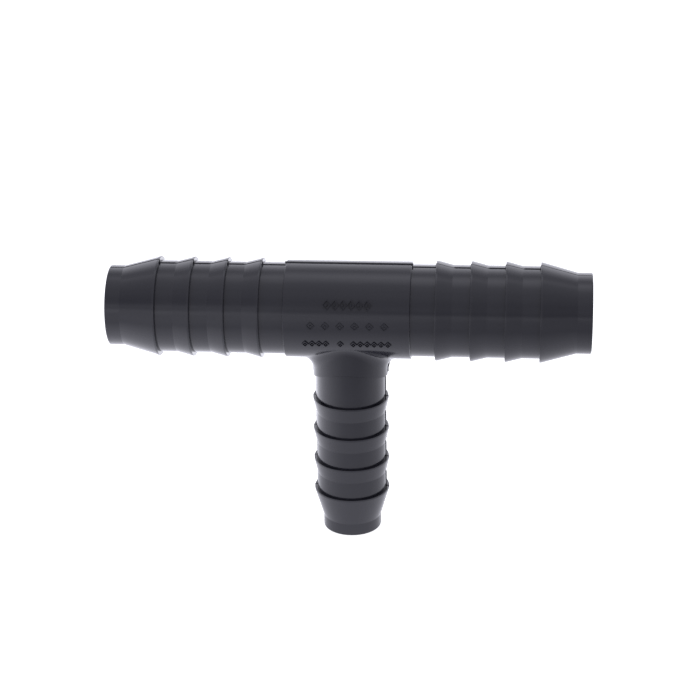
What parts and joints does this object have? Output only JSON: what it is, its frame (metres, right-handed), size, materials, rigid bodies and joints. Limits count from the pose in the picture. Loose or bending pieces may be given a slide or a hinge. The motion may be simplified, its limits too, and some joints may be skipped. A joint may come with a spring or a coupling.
{
  "type": "barbed tee connector",
  "caption": "Rigid hose tee: a straight-through run with a narrower side branch, and barbed spigots that grip flexible irrigation pipe.",
  "frame": {"origin": "where the axis of the run crosses the axis of the branch, inside the centre body", "axes": "+X along the run, -Z down the branch towards its hose end, +Y square to both"},
  "size_m": [0.1062, 0.022, 0.0639],
  "materials": {
    "pvc": "satin dark grey moulded PVC"
  },
  "bodies": {
    "root": {"centre_body": "pvc", "left_spigot": "pvc", "right_spigot": "pvc", "branch_spigot": "pvc"}
  },
  "joints": []
}
